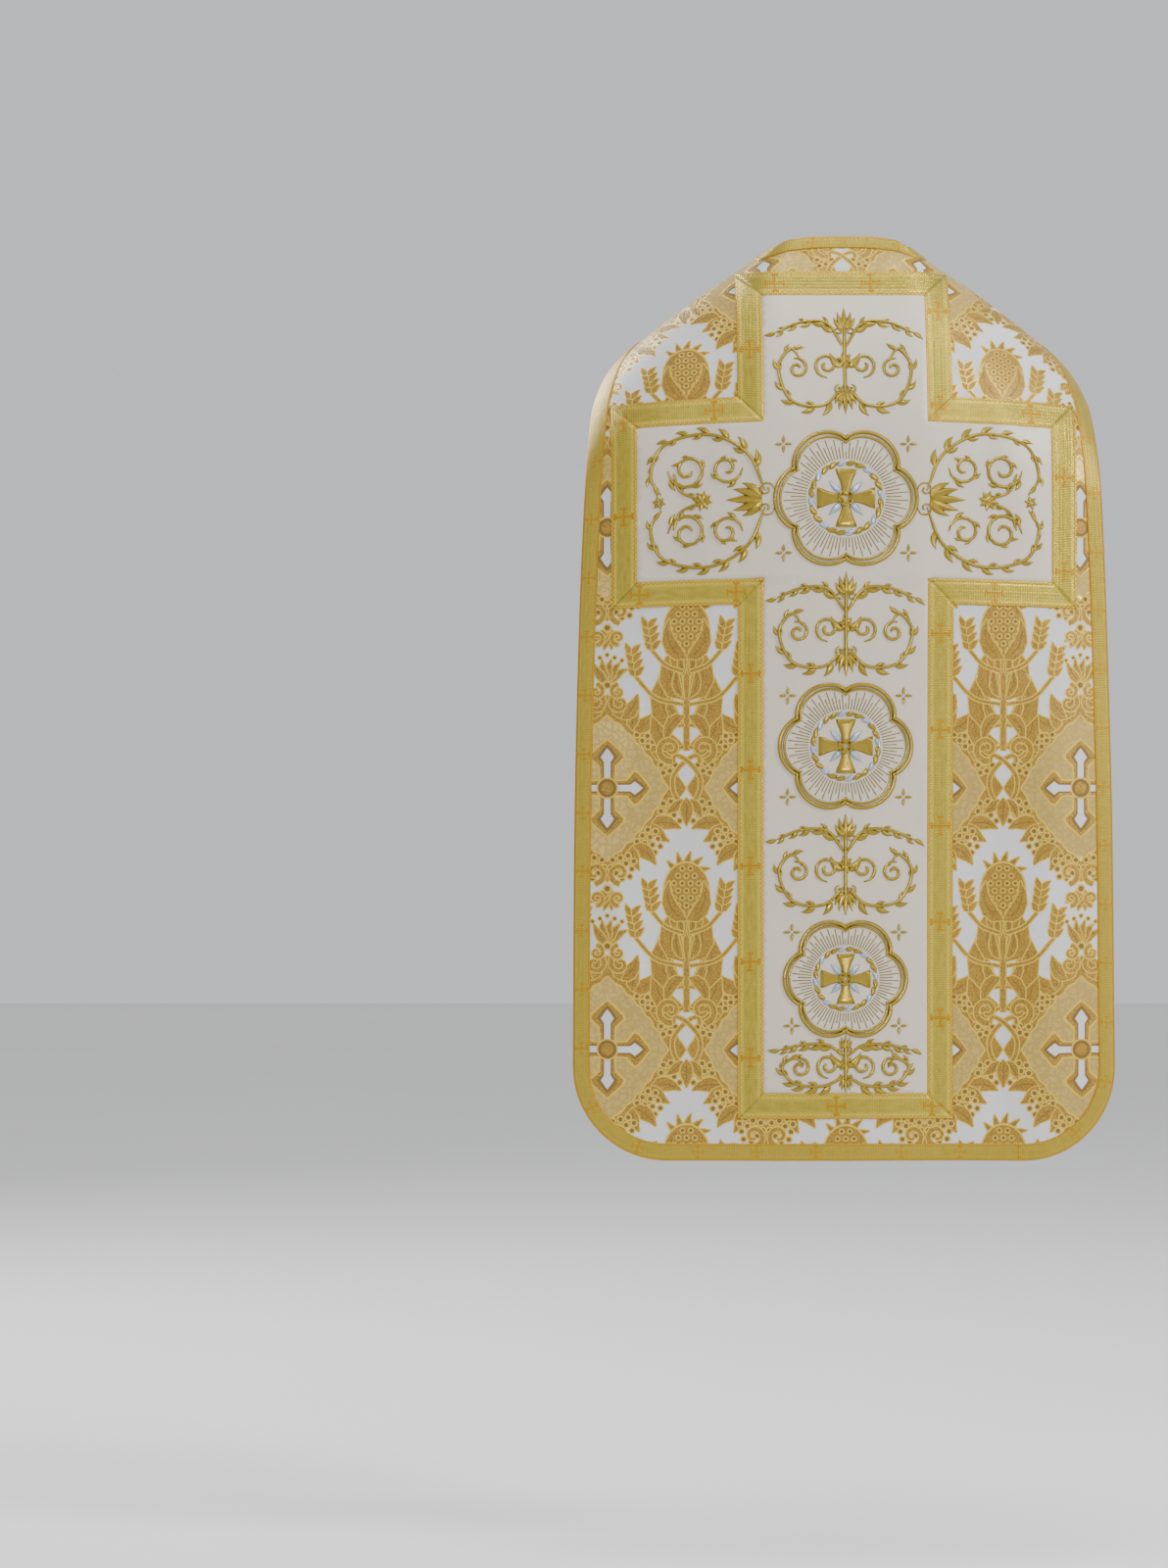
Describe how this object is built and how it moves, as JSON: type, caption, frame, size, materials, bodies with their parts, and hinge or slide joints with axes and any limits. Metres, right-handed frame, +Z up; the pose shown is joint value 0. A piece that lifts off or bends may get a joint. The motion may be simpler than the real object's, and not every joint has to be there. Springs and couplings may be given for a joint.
{
  "type": "roman chasuble",
  "caption": "Stiff sleeveless vestment in figured brocade, draped front and back, with a framed satin cross behind, a satin column in front and bound edges.",
  "frame": {"origin": "on the middle plane, level with the neck-side ends of the shoulder line and under it, where the wearer's shoulders carry the cloth", "axes": "+Z up, the wearer faces -Y, +X to the wearer's left"},
  "size_m": [0.6622, 0.2802, 1.1332],
  "materials": {
    "brocade": "white satin ground with beige-gold lattice and gold woven figures",
    "ivory_satin": "smooth ivory satin under raised gold embroidery",
    "galloon": "metallic gold honeycomb weave with orange crosses and scalloped edges",
    "edge_ribbon": "ribbed metallic gold ribbon, stitched near its inner edge",
    "lining": "pale grey-white satin lining"
  },
  "bodies": {
    "root": {"back_panel": "brocade", "front_panel": "brocade", "back_lining": "lining", "front_lining": "lining", "cross_orphrey": "ivory_satin", "cross_galloon": "galloon", "column_orphrey": "ivory_satin", "column_galloon_left": "galloon", "column_galloon_right": "galloon", "chest_galloon": "galloon", "neck_band": "edge_ribbon", "edge_band": "edge_ribbon"}
  },
  "joints": []
}
